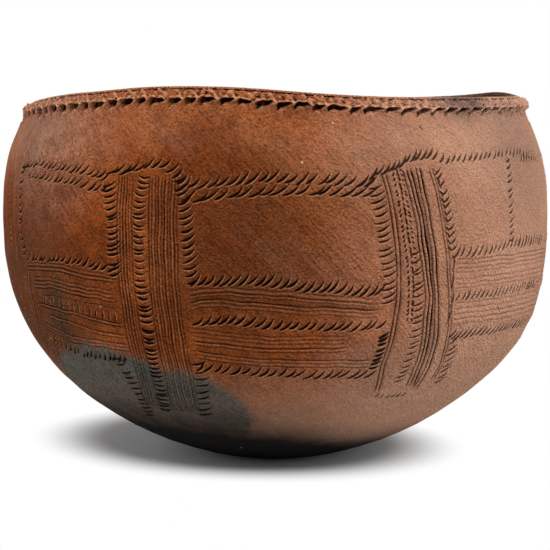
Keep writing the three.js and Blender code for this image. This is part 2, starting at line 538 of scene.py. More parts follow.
def comb_band(ornament):
    """Upright band of drawn grooves, dashes and rungs under a cap of cuts."""
    cap = ((18, 37), (19, 32.5), (22, 31), (24, 28), (27, 25), (29, 24), (31, 23.5), (32.5, 25))
    ornament.nails(cap, 3.8, 7.4, 48)
    ornament.nails(((19, 41), (20, 56), (21, 76), (22, 90), (22.3, 104)), 3.8, 8.4, 21, width=1.25)
    ornament.nails(((22, 124), (22, 134), (21.4, 146)), 3.2, 5.2, 24, width=2.3, depth=1.4)
    pair = ((20.4, 31), (22, 51), (23.1, 72), (23.8, 90), (24, 107), (23.8, 127), (23.4, 145), (24.5, 168))
    ornament.comb(pair, (-1.1, 1.4), 1.8, True)
    dashes = ((22.5, 32), (23.6, 52), (24.7, 72), (25.8, 90), (26.6, 116))
    ornament.nails(dashes, 2.8, 2.0, 66, width=1.2, depth=0.7)
    ornament.nails(shifted(dashes, 0.95), 2.7, 2.2, 118, width=1.3, depth=0.8)
    ornament.nails(shifted(dashes[:4], 1.8), 2.9, 1.8, 155, width=1.1, depth=0.6)
    rungs = ((27.2, 78), (28, 91), (28.9, 108), (29.6, 129), (29.6, 147), (29.2, 158))
    ornament.nails(rungs, 4.1, 6.4, 22, width=1.2, depth=0.8)
    second = (
        (25, 30), (26.2, 45), (27.8, 65), (29.2, 87), (30.4, 103), (31.4, 125), (32.2, 145), (32.6, 166),
    )
    ornament.comb(second, (-1.3, 1.3, 3.8), 1.8, True)
    third = (
        (28, 29), (29, 47), (30.4, 66), (31.8, 91), (33.2, 111), (34.6, 129), (35.6, 150), (35.2, 169),
    )
    ornament.comb(third, (-1.4, 1.3), 1.8, True)
    fourth = ((31, 30), (32, 44), (33.4, 62), (35, 90), (37, 116), (38.6, 135), (39.4, 150), (39, 163))
    ornament.comb(fourth, (-1.1, 0.9), 1.6, True)
    ornament.nails(((32.4, 38), (33.6, 56), (34.9, 77)), 4.0, 3.6, 128, width=1.2, depth=0.8)
    ornament.nails(((32.6, 33), (34, 46), (35, 62), (36.4, 80)), 3.9, 5.4, 40, width=1.3)
    ornament.nails(((35.8, 84), (36.6, 116)), 10.6, 9.0, 92, width=1.4)
    ornament.nails(((39.8, 129), (40.8, 141), (41.6, 152), (41.8, 162)), 4.2, 6.4, 38, width=1.4)
    ornament.nails(((25, 170), (33, 172)), 4.0, 3.6, 55, width=1.1, depth=0.7)


def narrow_panel(ornament):
    """Panel to the left of a ladder band, with combed stripes and a row of steep rungs."""
    first = ((-61, 32), (-53, 30), (-48, 31.5), (-42, 32), (-39, 33), (-35, 35))
    ornament.nails(first, 4.5, 7.6, 40, width=1.4)
    ornament.nails(((-58, 37), (-50, 38), (-43, 39), (-39, 40.5), (-34, 43)), 5.0, 7.8, 38, width=1.4)
    ornament.nails(((-58, 86), (-52, 85), (-47, 84), (-39, 85), (-32.5, 87.5)), 4.8, 6.8, 36)
    ornament.comb(((-60, 92), (-50, 90), (-46, 90), (-40, 92), (-31, 93.5)), (-2.2, 0, 2.3), 0.95)
    stripe = ((-58, 101), (-51, 99.5), (-46, 100.5), (-40, 102), (-32, 103.5))
    ornament.comb(stripe, (-3.4, -1.1, 1.1, 3.4), 0.95)
    ornament.comb(((-56, 107.5), (-45, 107.5), (-39, 109), (-31, 110.5)), (0.0,), 0.9)
    boxes = ((-54, 110), (-48, 111.2), (-44, 112.3), (-40, 114), (-33, 116.2))
    ornament.nails(boxes, 4.6, 4.6, 76, width=1.2, depth=0.9, bow=0.02)
    ornament.comb(((-58, 114), (-52, 115), (-45, 116), (-40, 118), (-31, 121)), (-1.0, 1.2), 0.95)
    ornament.comb(((-55, 121), (-47, 122.5), (-41, 126), (-31, 128.5)), (-1.2, 1.2), 0.85)
    ornament.comb(((-60, 127), (-52, 131), (-48, 134), (-41, 134), (-31, 135)), (-2.2, 0.2, 2.6), 0.9)
    last = ((-59, 135), (-54, 138), (-50, 141), (-45, 143), (-40, 143.5), (-34, 142.5))
    ornament.nails(last, 3.9, 6.2, 58)


def split_panel(ornament):
    """Panel to the right of a comb band, with a column of cuts down its upper field."""
    first = ((34, 27), (43, 26), (48, 25), (55, 23.5), (62, 26), (72, 29), (80, 30))
    ornament.nails(first, 4.4, 6.0, 50, width=1.4)
    ornament.nails(((54, 29), (53.4, 43), (53.4, 56), (54, 75)), 4.1, 5.4, 28, width=1.3)
    ornament.nails(((37, 78), (41, 79), (47, 78), (52, 76), (61, 77), (80, 78.5)), 4.5, 6.8, 56, width=1.4)
    top = ((36, 91.5), (47, 91.5), (63, 92), (82, 94))
    ornament.comb(top, (-8.0, -5.6, -3.0, -0.6, 3.0, 5.8, 8.2), 0.6)
    ornament.nails(((38, 104), (49, 104), (64, 104), (80, 106)), 4.1, 6.0, 62, width=1.4)

    # The right ends of the rows are cut again, wider and deeper
    ends = (((60, 27), (80, 30)), ((57, 76.5), (80, 78.5)), ((64, 104), (80, 106)), ((62, 128), (80, 129)))
    for end in ends:
        ornament.nails(end, 4.4, 6.6, 60, width=1.9, depth=1.2)

    # Lower stripes
    ornament.comb(((37, 115), (50, 115.5), (66, 116), (82, 117)), (-6.6, -3.4, 0, 3.2, 6.4), 0.65)
    ornament.nails(((39, 128), (51, 128), (69, 128), (80, 129)), 4.6, 7.4, 50)


def dashed_band(ornament):
    """Upright band with two columns of short cuts over smooth drawn grooves."""
    ornament.nails(((-62, 33), (-61.6, 50), (-61.4, 66), (-60, 84)), 4.4, 6.2, 26, width=1.4)
    ornament.nails(((-70, 38), (-69.4, 54), (-68.4, 80)), 4.0, 4.0, 34, width=1.4)
    ornament.comb(((-66.4, 36), (-66, 58), (-65, 92)), (-4.4, -2.2, 1.6, 4.0), 0.7, True)
    ornament.comb(((-60.5, 94), (-62.5, 121), (-67, 150), (-73, 178)), (-5.0, -1.8, 1.5, 4.6), 0.85, True)
    ornament.nails(((-67.5, 112), (-68.5, 134)), 6.6, 3.6, 40, width=1.6)
    ornament.nails(((-57.5, 144), (-60, 152), (-64, 168)), 5.0, 5.6, 44, width=1.4)


def ornament_of_the_bowl():
    """All marks. The front half follows the real bowl, and the unseen back repeats its bands and panels."""
    ornament = Ornament(CUT_SEED)
    for turned, drawn in (
        (0, (dashed_band, narrow_panel, ladder_band, wide_panel, comb_band, split_panel)),
        (116, (ladder_band, wide_panel, comb_band)),
        (220, (narrow_panel,)),
        (221, (ladder_band, wide_panel, comb_band)),
    ):
        ornament.turned = turned
        for draw in drawn:
            draw(ornament)
    return ornament


ORNAMENT = ornament_of_the_bowl()


# Meshes of the clay pieces, in mm until the mesh is made


def column_azimuths():
    """Azimuths of the columns, from the back round by the left, the front and the right to the back."""
    turn = np.linspace(-np.pi, np.pi, COLUMNS + 1)
    return np.degrees(turn - FRONT_CROWDING * np.sin(turn))


AZIMUTHS = column_azimuths()


def wall_bump(drop, size, azimuth, around, middle, along):
    """Smooth hump on the wall at rows down it: size, azimuth and its half width, drop and its half width."""
    down = np.exp(-(((drop[:, None] - middle) / along) ** 2))
    return size * (around_bump(AZIMUTHS, azimuth, around)[None, :] * down)


def skin(drop, sizes):
    """Radius and height of the carved outside at rows down the wall, and the marks drawn there."""
    (edge, flank), hollow, burr, (phase, pitch, strength) = ORNAMENT.carve(AZIMUTHS, drop)
    plain = radius_at(drop)
    lean = np.clip(np.gradient(plain, drop), -0.95, 0.95)
    facing = np.clip(np.sqrt(1 - lean**2), 0.55, 1.0)[:, None]
    across = np.abs(phase - np.round(phase)) * pitch
    groove = np.exp(-((across / (GROOVE_WIDTH + GROOVE_WIDENING * strength)) ** 2)) * strength
    ridge = smooth(0.4, 0.85, across) * strength * RIDGE_SHARE
    slow = 0.5 + 0.5 * wander(AZIMUTHS[None, :], drop[:, None], *HAND_COURSE)
    tooled = wander(AZIMUTHS[None, :], drop[:, None], *TOOL_COURSE)
    bulge = wall_bump(drop, *RIGHT_BULGE)
    inward = slow * sizes.unevenness * 1000 + tooled * TOOL_MARKS - bulge
    inward = inward + wall_bump(drop, *LEFT_HOLLOW)
    inward = inward + hollow * sizes.nail_depth * 1000 - burr * BURR_HEIGHT
    inward = inward + (groove - ridge) * sizes.comb_depth * 1000
    inward = np.maximum(inward, -HIGHEST_BURR - bulge) + SKIN_ALLOWANCE
    height = np.interp(drop, DROP[::-1], OUT_HEIGHT[::-1])
    marks = {"cut": (edge, flank, 0.0 * edge), "comb": (phase, pitch, strength)}
    return np.minimum(plain[:, None] - inward / facing, BELLY_RADIUS - BELLY_ALLOWANCE), height, marks


def inside_radius(height):
    """Radius of the hand-smoothed inside at rows of heights."""
    slow = wander(AZIMUTHS[None, :], np.asarray(height)[:, None], *INSIDE_COURSE)
    return inner(height)[:, None] + INSIDE_WAVES * slow + INSIDE_ALLOWANCE


def level(height):
    """Rows that are each at one height all round."""
    return np.repeat(np.asarray(height, float)[:, None], COLUMNS + 1, axis=1)


def some_rows(marks, rows):
    """The marks of some rows."""
    return {label: [field[rows] for field in fields] for label, fields in marks.items()}


def clay_piece(name, grid, joints):
    """Closed piece of clay from its section grid and the heights of its flat joint faces.

    The grid's rows follow the section and its columns go round the bowl. It gives the radius and height of
    each row, and the marks from a row on, for the rows that have some.
    """
    radius, height, marks = grid
    rows, count = radius.shape
    bm = bmesh.new()
    bm.loops.layers.uv.new("OFBake")
    bmesh.ops.create_grid(bm, x_segments=count - 1, y_segments=rows - 1, size=1.0, calc_uvs=True)
    mesh = bpy.data.meshes.new(name)
    bm.to_mesh(mesh)
    bm.free()
    flat = np.zeros(len(mesh.vertices) * 3, np.float32)
    mesh.vertices.foreach_get("co", flat)
    flat = flat.reshape(-1, 3)
    column = np.rint((flat[:, 0] + 1.0) / 2.0 * (count - 1)).astype(int) % (count - 1)
    row = np.rint((flat[:, 1] + 1.0) / 2.0 * (rows - 1)).astype(int)
    angle = np.radians(AZIMUTHS[column])
    there = radius[row, column] / 1000
    placed = np.stack((there * np.sin(angle), -there * np.cos(angle), height[row, column] / 1000), axis=1)
    mesh.vertices.foreach_set("co", placed.astype(np.float32).ravel())
    for label, plain in PLAIN_MARKS.items():
        values = np.zeros((len(mesh.vertices), 3), np.float32)
        for axis in range(3):
            whole = np.full((rows, count), plain[axis], np.float32)
            for first, fields in marks:
                field = fields[label][axis]
                whole[first : first + len(field)] = field
            values[:, axis] = whole[row, column]
        layer = mesh.attributes.new(label, "FLOAT_VECTOR", "POINT")
        layer.data.foreach_set("vector", values.ravel())
    lay_strips(mesh)
    close_seams(mesh, joints)
    piece = bpy.data.objects.new(name, mesh)
    bpy.context.scene.collection.objects.link(piece)
    return piece


def close_seams(mesh, joints):
    """Merges the seam, the poles and the closing row, and keeps the rims of the joint faces sharp."""
    bm = bmesh.new()
    bm.from_mesh(mesh)
    bmesh.ops.remove_doubles(bm, verts=bm.verts, dist=MERGE_DISTANCE)
    bmesh.ops.recalc_face_normals(bm, faces=bm.faces)
    for face in bm.faces:
        face.smooth = True
    for edge in bm.edges:
        on_joint = any(
            all(abs(vert.co.z * 1000 - joint) < JOINT_TOLERANCE for vert in edge.verts) for joint in joints
        )
        edge.smooth = not (on_joint and edge.calc_face_angle(0.0) > SHARP_ANGLE)
    bm.to_mesh(mesh)
    bm.free()


def lay_strips(mesh):
    """Cuts the grid's long UV square into strips, stacked so that the baked skin isn't stretched."""
    layer = mesh.uv_layers["OFBake"]
    uv = np.zeros(len(mesh.loops) * 2, np.float32)
    layer.uv.foreach_get("vector", uv)
    uv = uv.reshape(-1, 4, 2)
    strip = np.clip(np.floor(uv[:, :, 0].mean(axis=1) * STRIPS), 0, STRIPS - 1)[:, None]
    along = (uv[:, :, 0] * STRIPS - strip) * (1.0 - 2.0 * END_MARGIN) + END_MARGIN
    stacked = (strip + SIDE_MARGIN + (1.0 - 2.0 * SIDE_MARGIN) * uv[:, :, 1]) / STRIPS
    layer.uv.foreach_set("vector", np.stack((along, stacked), axis=2).astype(np.float32).ravel())


def base_grid(sizes):
    """Section grid of the moulded base: outer pole, outside up to the joint and inside to the inner pole."""
    fine = np.linspace(drop_of(BASE_SHELL_HEIGHT), FINE_BASE_DROP, FINE_BASE_ROWS + 1)
    coarse = np.linspace(FINE_BASE_DROP, DROP[0], COARSE_BASE_ROWS + 1)[1:]
    radius, height, marks = skin(np.concatenate((fine, coarse)), sizes)
    height[0] = BASE_SHELL_HEIGHT
    within = np.linspace(BASE_SHELL_HEIGHT, FLOOR, INSIDE_BASE_ROWS + 1)
    within = FLOOR + (within - FLOOR) ** 2 / (BASE_SHELL_HEIGHT - FLOOR)
    pole = np.zeros((1, COLUMNS + 1))
    grid = np.concatenate((pole, radius[::-1], inside_radius(within), pole))
    heights = np.concatenate(([0.0], height[::-1], within, [FLOOR]))
    upward = some_rows(marks, slice(None, None, -1))
    outer_pole = some_rows(marks, slice(-1, None))
    return grid, level(heights), [(0, outer_pole), (1, upward)]


def course_grid(joints, sizes):
    """Section grid of a wall course: outside down, inside up, and the first row again to close it."""
    low, high = joints
    radius, height, marks = skin(np.linspace(drop_of(high), drop_of(low), COURSE_ROWS + 1), sizes)
    height[0] = high
    height[-1] = low
    within = np.linspace(low, high, INSIDE_COURSE_ROWS + 1)
    grid = np.concatenate((radius, inside_radius(within), radius[:1]))
    heights = np.concatenate((height, within, [high]))
    return grid, level(heights), [(0, marks), (len(heights) - 1, some_rows(marks, slice(1)))]


# Notched rim

# How unevenly the teeth stand: seed, and scatter as a share of their spacing
TEETH_SEED = 23
TEETH_SCATTER = 0.1

# Crumbling along the rim: seed, and fewest and most lumps in a turn
CRUMBS = (31, 90, 260)
BEADS = (43, 330, 420)
SWAY = (37, 12, 60)
UNEVEN_NOTCHES = (59, 20, 60)
COARSE_TEARS = (53, 60, 220)
FINE_TEARS = (67, 160, 330)
NICKS = (47, 30, 260)

# The two ovals of a nail notch, as shares of its width and height: middle across it, lean, half width,
# middle below the edge and half height
NOTCH_BODY = (0.5, 0.22, 0.4, 0.28, 0.52)
NOTCH_FOOT = (0.34, 0.2, 0.13, 0.72, 0.4)

# Half widths of the teeth's tips, of the folds above them and of the shade beside a fold, in spacings
TIP_WIDTH = 0.13
FOLD_WIDTH = 0.085
SHADE_WIDTH = 0.07


def notch_place(azimuth):
    """Way round the rim counted in teeth: it is a whole number on each tooth, and they stand unevenly."""
    chance = np.random.default_rng(TEETH_SEED)
    teeth = np.arange(NOTCHES) + chance.normal(0.0, TEETH_SCATTER, NOTCHES)
    teeth = np.concatenate((teeth - NOTCHES, teeth, teeth + NOTCHES))
    return np.interp(azimuth / 360.0 * NOTCHES, teeth, np.arange(-NOTCHES, 2 * NOTCHES))


def fold(azimuth, width):
    """1 on the thin pinched fold that runs from each tooth and 0 between the folds."""
    place = notch_place(azimuth)
    return np.exp(-(((place - np.round(place)) / width) ** 2))


def in_oval(here, way, shape):
    """Squared distance from the middle of one of a notch's ovals: less than 1 in it and more beyond."""
    middle, lean, half_width, below, half_height = shape
    return ((here - middle + lean * way) / half_width) ** 2 + ((way - below) / half_height) ** 2


class RimSection:
    """Rows of the rim coil, from its seat up the outside and over the lip, with what they share."""

    def __init__(self, seat):
        self.rows = []
        self.seat = seat
        self.top = rim_top(AZIMUTHS)
        self.along = notch_place(AZIMUTHS) % 1.0
        self.crumbs = crumble(AZIMUTHS, *CRUMBS)
        self.beads = crumble(AZIMUTHS, *BEADS)
        self.sway = crumble(AZIMUTHS, *SWAY)
        self.left_end = around_bump(AZIMUTHS, -90.0, 24.0)
        self.wall = NECK_RADIUS - 0.75 + 1.5 * self.left_end
        self.edge = NECK_RADIUS + LIP_OVERHANG - 0.35 + 0.25 * self.sway - 1.1 * self.left_end
        cusp = fold(AZIMUTHS, TIP_WIDTH)
        self.lip = self.top - LIP_EDGE_DROP - 0.3 - 1.3 * cusp + 0.45 * self.sway + 0.3 * self.crumbs
        taller = NOTCH_HEIGHT + LEFT_NOTCH_GAIN * around_bump(AZIMUTHS, -65.0, 42.0)
        self.tall = taller * (1.0 + 0.22 * crumble(AZIMUTHS, *UNEVEN_NOTCHES))
        self.band_top = NECK_RADIUS + LIP_OVERHANG - LIP_BEVEL_WIDTH

    def add(self, radius, height, cut=FAR_FROM_CUTS, burr=0.0, within=0.0):
        """Adds a row: radius, height, distance to a cut, how much it is a burr, and how much the inside."""
        # On the rim a low distance to a cut paints the row dark as painted shade, and a burr paints it pale
        # as a painted highlight
        self.rows.append(np.broadcast_arrays(AZIMUTHS, radius, height, cut, burr, within)[1:])

    def raise_skirt(self):
        """Plain wall from the seat to the notches."""
        lowest = self.lip - NOTCH_ROWS[0] * self.tall
        for step in range(SKIRT_ROWS):
            share = step / SKIRT_ROWS
            radius = self.seat + (self.wall - self.seat) * share
            self.add(radius, RIM_SEAT + (lowest - RIM_SEAT) * share)

    def press_notches(self):
        """Finger-nail notches, each with its point down at the left, the webs between them and the edge."""
        depth = NOTCH_DEPTH + 0.6 * self.sway + 0.8 * self.left_end
        for way in NOTCH_ROWS:
            here = (self.along + 0.06 * self.crumbs * np.cos(4.0 * way)) % 1.0
            near = np.minimum(in_oval(here, way, NOTCH_BODY), in_oval(here, way, NOTCH_FOOT))
            hole = smooth(1.3, 0.7, near)
            leaning = (self.along - 1.0 + 0.3 * way + 0.5) % 1.0 - 0.5
            web = np.exp(-((leaning / 0.1) ** 2)) * max(0.0, 1.0 - way) ** 0.8
            sill = np.exp(-(((way - 1.12) / 0.14) ** 2)) * smooth(0.7, 0.3, here) * smooth(0.0, 0.15, here)
            radius = self.wall - depth * hole + (self.edge - self.wall) * web + 0.4 * sill
            burr = np.clip(web + 0.7 * sill, 0.0, 1.0)
            # Painted shade in the notches, where the hole paints the row dark, and painted highlight on the
            # webs and the sill
            self.add(radius, self.lip - way * self.tall, 0.6 - 0.7 * hole + 0.1 * self.crumbs, burr)
        # Painted highlight: a pale line along the lip's edge
        self.add(self.edge - 0.2, self.lip - 0.05, burr=1.0)

    def fold_band(self):
        """Sloping rounded band, with pinched folds that run up and to the left from each tooth."""
        first = self.lip + 0.3
        last = self.top - LIP_BEVEL_TOP - 0.2
        for step in range(BAND_ROWS):
            share = step / BAND_ROWS
            pinch = fold(AZIMUTHS + 2.5 * share, FOLD_WIDTH) * (0.75 + 0.25 * self.sway)
            rough = crumble(AZIMUTHS + 1.3 * share, *COARSE_TEARS) * np.cos(7.0 * share)
            fine = crumble(AZIMUTHS - 2.0 * share, *FINE_TEARS) * np.sin(11.0 * share + 1.0)
            rough = rough + 0.7 * fine
            swell = (2.1 * pinch * (1.0 - 0.45 * share) - 0.45 + 1.0 * rough) * smooth(0.0, 0.25, share)
            swell = swell + 0.9 * np.sin(np.pi * share) ** 0.8
            radius = self.edge - 0.05 + (self.band_top + 0.5 - self.edge) * share + 0.56 * swell
            # Painted shadow beside each fold and painted shade in the band's hollows; the folds and the lower
            # edge are painted pale as a highlight
            shaded = fold(AZIMUTHS + 2.5 * share + 0.75, SHADE_WIDTH) * (0.5 + 0.5 * self.beads)
            shaded = shaded * smooth(0.05, 0.2, share)
            cut = 0.65 - 0.8 * np.maximum(smooth(0.05, 0.7, -rough), shaded)
            burr = np.clip(1.3 * pinch + smooth(0.12, 0.0, share) + 0.7 * smooth(0.2, 0.8, rough), 0.0, 1.3)
            self.add(radius, first + (last - first) * share + 0.82 * swell, cut, burr)

    def turn_crown(self):
        """Nicked groove under the beaded crown, the crown and the inner edge."""
        beads = self.beads
        sway = self.sway
        band_top = self.band_top
        nick = smooth(-0.6, 0.3, crumble(AZIMUTHS, *NICKS))
        nick = nick * (0.25 + 0.75 * around_bump(AZIMUTHS, 0.0, 42.0))
        inside = NECK_RADIUS - WALL
        crown = (band_top + inside) / 2
        far = FAR_FROM_CUTS
        # The low distances to a cut paint the nicked groove dark as painted shade, and the burrs paint the
        # beads pale as a painted highlight
        for radius, down, cut, burr, within in (
            (band_top + 0.45 + 0.2 * sway, LIP_BEVEL_TOP + 0.2, 0.9, 0.2, 0.0),
            (band_top - 0.5 - 0.4 * nick, LIP_BEVEL_TOP + 0.3 + 0.2 * nick, 0.35 - 0.9 * nick, 0.0, 0.0),
            (band_top - 0.9 - 0.4 * nick, 1.6 - 0.3 * self.crumbs, 0.3 - 0.9 * nick, 0.0, 0.0),
            (band_top - 0.1 + 0.5 * beads, 1.15 - 0.3 * beads, 0.5, 0.5 + 0.4 * beads, 0.0),
            (band_top - 0.2 + 0.45 * beads, 0.75 - 0.2 * beads, 0.6 + beads, 0.4 + 0.4 * beads, 0.0),
            (band_top - 0.8 + 0.3 * beads, 0.35 - 0.2 * beads, far, 0.3, 0.0),
            (crown + 0.3, 0.1 + 0.15 * np.abs(beads), far, 0.1, 0.0),
            (crown - 0.6, 0.1 + 0.2 * np.abs(sway), far, 0.0, 0.1),
            (crown - CROWN_WIDTH / 2, 0.45 + 0.3 * np.abs(sway), far, 0.0, 0.6),
            (inside + 0.35, 1.9, far, 0.0, 1.0),
            (inside + 0.1, CROWN_ROUNDING, far, 0.0, 1.0),
        ):
            self.add(radius, self.top - down, cut, np.clip(burr, 0.0, 1.0), within)


def rim_grid(sizes):
    """Section grid of the rim coil: up the outside, over the lip and crown, down the inside and round."""
    seat, _, marks = skin(np.linspace(RIM_COIL_SKIRT, RIM_COIL_SKIRT + 1.0, 2), sizes)
    section = RimSection(seat[0])
    section.raise_skirt()
    section.press_notches()
    section.fold_band()
    section.turn_crown()
    marked = len(section.rows)
    section.add(inside_radius([RIM_SEAT])[0], RIM_SEAT)
    section.add(seat[0], RIM_SEAT)
    radius, height, cut, burr, within = np.array(section.rows).transpose(1, 0, 2)
    plain = np.zeros((marked, COLUMNS + 1))
    fields = {"cut": (cut[:marked], burr[:marked], within[:marked]), "comb": (plain, plain + 1.0, plain)}
    at_seat = some_rows(marks, slice(1))
    return radius, height, [(0, fields), (0, at_seat), (marked + 1, at_seat)]


def finish_piece(piece, node, material):
    """Gives a piece its finish and its place in the frame."""
    piece.data.materials.append(material)
    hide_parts(node)
    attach(piece, "root")


# Finishes, with places and distances in metres. Inputs 1 to 4 of a Map Range node are its range in and its
# range out, and inputs 6 and 7 of a Mix node are the colour below and the colour laid over it.


def add(tree, kind, inputs=None, **settings):
    """Adds a shader node with its settings. A node given as an input stands for its first live output."""
    made = tree.nodes.new("ShaderNode" + kind)
    for name, value in settings.items():
        setattr(made, name, value)
    for name, value in (inputs or {}).items():
        if isinstance(value, bpy.types.Node):
            value = next(socket for socket in value.outputs if socket.enabled)
        if isinstance(value, bpy.types.NodeSocket):
            tree.links.new(value, made.inputs[name])
        else:
            made.inputs[name].default_value = value
    return made


# Colours of single marks, as sRGB hex values
HAZE_GREY = "#5d504b"
ASH_GREY = "#a08e80"
SCORCH_BROWN = "#4d3220"
FOOD_BROWN = "#3a2217"
# Painted highlight on burrs in pale places, over the clay rubbed clean
PALE_BURR_HIGHLIGHT = "#dcab93"
ASHEN_SOOT = "#6a5f55"
# Soot with painted shade under the bowl, nearly black
SOOT_AND_SHADE_BLACK = "#0e0b09"
# Dirt and painted shade in the cuts, the grooves and the rim's hollows
DIRT_AND_SHADE_BROWN = "#170c07"
WHITE_GRIT = "#cdbfae"
PIT_BROWN = "#2c1a12"

# Patches that the fire left: middle, radius up to which it is full, radius at which it has gone, strength
RIGHT_HAZE = ((0.137, -0.079, 0.197), 0.015, 0.06, 0.75)
LIP_SMUDGE = ((0.109, -0.112, 0.236), 0.012, 0.033, 1.8)
LEFT_ASH = ((-0.13, -0.1, 0.197), 0.01, 0.06, 0.52)
LEFT_SCORCH = ((-0.14, -0.08, 0.105), 0.035, 0.07, 1.2)
FRONT_SCORCH = ((-0.015, -0.168, 0.145), 0.02, 0.07, 0.9)
BURNT_RIM = ((0.14, 0.06, 0.225), 0.05, 0.085, 0.95)
SMOKE_CLOUD = ((-0.079, -0.09, 0.021), 0.048, 0.094, 1.0)
SMOKE_LOBE = ((-0.048, -0.115, 0.042), 0.016, 0.06, 1.0)

# Heights of the relief in the bump, in mm. The grain's are taller than the real ones, so that it shows.
GRIT_BUMP = 1.6
LUMP_BUMP = 4.4
DRAG_BUMP = 3.2
MOTTLE_BUMP = 1.2
PIT_BUMP = -0.5
GROOVE_BUMP = -0.8
CUT_BUMP = -1.0


class ClayBody:
    """What the layers of a clay share: the place on the bowl, the grain and the marks made in the clay.

    right is the way to the right of the bowl's middle and height the way up from the ground.
    """

    def __init__(self, tree):
        self.tree = tree
        self.place = add(tree, "TexCoord").outputs["Object"]
        axes = add(tree, "SeparateXYZ", {0: self.place})
        self.right = axes.outputs[0]
        self.height = axes.outputs[2]
        self.knead()
        self.read_cuts()
        self.read_combing()

    def knead(self):
        """Drag marks, sand and the clouds of the firing."""
        tree = self.tree

        # Drag marks of the smoothing hand, 2 mm wide and 10 mm long, falling to the right, and wider wisps
        turn = add(tree, "Math", {0: self.height, 1: 5.5}, operation="MULTIPLY")
        swung = add(tree, "VectorRotate", {"Vector": self.place, "Angle": turn}, rotation_type="Z_AXIS")
        drawn = add(tree, "VectorMath", {0: swung, 1: (1.0, 1.0, 0.2)}, operation="MULTIPLY")
        self.drawn = drawn
        self.drag = add(tree, "TexNoise", {"Vector": drawn, "Scale": 460.0, "Detail": 3.0})
        self.wisps = add(tree, "TexNoise", {"Vector": drawn, "Scale": 70.0, "Detail": 4.0})

        # Sand in the clay: grit of 0.6 mm, lumps of 1.5 mm and mottling of 1 cm, and the clouds of the firing
        sand = {"Vector": self.place, "Roughness": 0.6}
        self.grit = add(tree, "TexNoise", {**sand, "Scale": 1500.0, "Detail": 2.0})
        self.lumps = add(tree, "TexNoise", {**sand, "Scale": 720.0, "Detail": 1.5})
        self.mottle = add(tree, "TexNoise", {**sand, "Scale": 95.0, "Detail": 5.0, "Roughness": 0.7})
        self.clouds = add(tree, "TexNoise", {**sand, "Scale": 17.0, "Detail": 5.0})
        self.broad = add(tree, "TexNoise", {"Vector": self.place, "Scale": 6.0, "Detail": 2.0})
        self.drift = add(tree, "Math", {0: self.clouds, 1: self.mottle}, operation="ADD")
        self.blotches = add(tree, "MapRange", {"Value": self.drift, 1: 0.8, 2: 1.15, 3: 0.15, 4: 0.85})

        # Light and dark of the grain, for the colour
        grain = self.grit
        for pattern, share in ((self.lumps, 1.4), (self.mottle, 1.1), (self.drag, 0.8)):
            grain = add(tree, "Math", {0: pattern, 1: share, 2: grain}, operation="MULTIPLY_ADD")
        self.speckle = add(tree, "MapRange", {"Value": grain, 1: 1.83, 2: 2.47, 3: 0.63, 4: 1.5})

    def read_cuts(self):
        """Edge: mm to a cut's edge. Flank: 1 on its lower side. Within: 1 on the inside. Cut: 1 in a cut."""
        tree = self.tree
        found = add(tree, "Attribute", attribute_name="cut")
        marks = add(tree, "SeparateXYZ", {0: found.outputs["Vector"]})
        self.edge, self.flank, self.within = marks.outputs
        self.outside = add(tree, "Math", {0: 1.0, 1: self.within}, operation="SUBTRACT")
        sunk = {"Value": self.edge, 1: 0.12, 2: -0.12, 3: 0.0, 4: 1.0}
        self.cut = add(tree, "MapRange", sunk, interpolation_type="SMOOTHSTEP")

    def read_combing(self):
        """Grooves of the comb and the ridges between them, from the distance to the nearest groove in mm."""
        tree = self.tree
        found = add(tree, "Attribute", attribute_name="comb")
        phase, pitch, strength = add(tree, "SeparateXYZ", {0: found.outputs["Vector"]}).outputs
        part = add(tree, "Math", {0: phase, 1: 0.5}, operation="ADD")
        part = add(tree, "Math", {0: part}, operation="FRACT")
        part = add(tree, "Math", {0: part, 1: 0.5}, operation="SUBTRACT")
        part = add(tree, "Math", {0: part}, operation="ABSOLUTE")
        away = add(tree, "Math", {0: part, 1: pitch}, operation="MULTIPLY")
        widened = add(tree, "Math", {0: strength, 1: -0.3, 2: away}, operation="MULTIPLY_ADD")
        bottom = {"Value": widened, 1: -0.05, 2: 0.38, 3: 1.0, 4: 0.0}
        groove = add(tree, "MapRange", bottom, interpolation_type="SMOOTHSTEP")
        ridge = add(tree, "MapRange", {"Value": away, 1: 0.55, 2: 0.8, 3: 0.0, 4: 1.0})
        self.groove = add(tree, "Math", {0: groove, 1: strength}, operation="MULTIPLY")
        self.ridge = add(tree, "Math", {0: ridge, 1: strength}, operation="MULTIPLY")


def patch(clay, spot, beyond=0.0):
    """Round patch of its strength, and of another value beyond the radius at which it has gone."""
    middle, full, gone, strength = spot
    away = add(clay.tree, "VectorMath", {0: clay.place, 1: middle}, operation="DISTANCE")
    return add(clay.tree, "MapRange", {"Value": away, 1: full, 2: gone, 3: strength, 4: beyond})


def patches(clay, spots, pattern):
    """Patches of one kind, broken up by a pattern of the clay."""
    amount = patch(clay, spots[0])
    for spot in spots[1:]:
        more = patch(clay, spot)
        amount = add(clay.tree, "Math", {0: amount, 1: more}, operation="MAXIMUM")
    return add(clay.tree, "Math", {0: amount, 1: pattern}, operation="MULTIPLY")


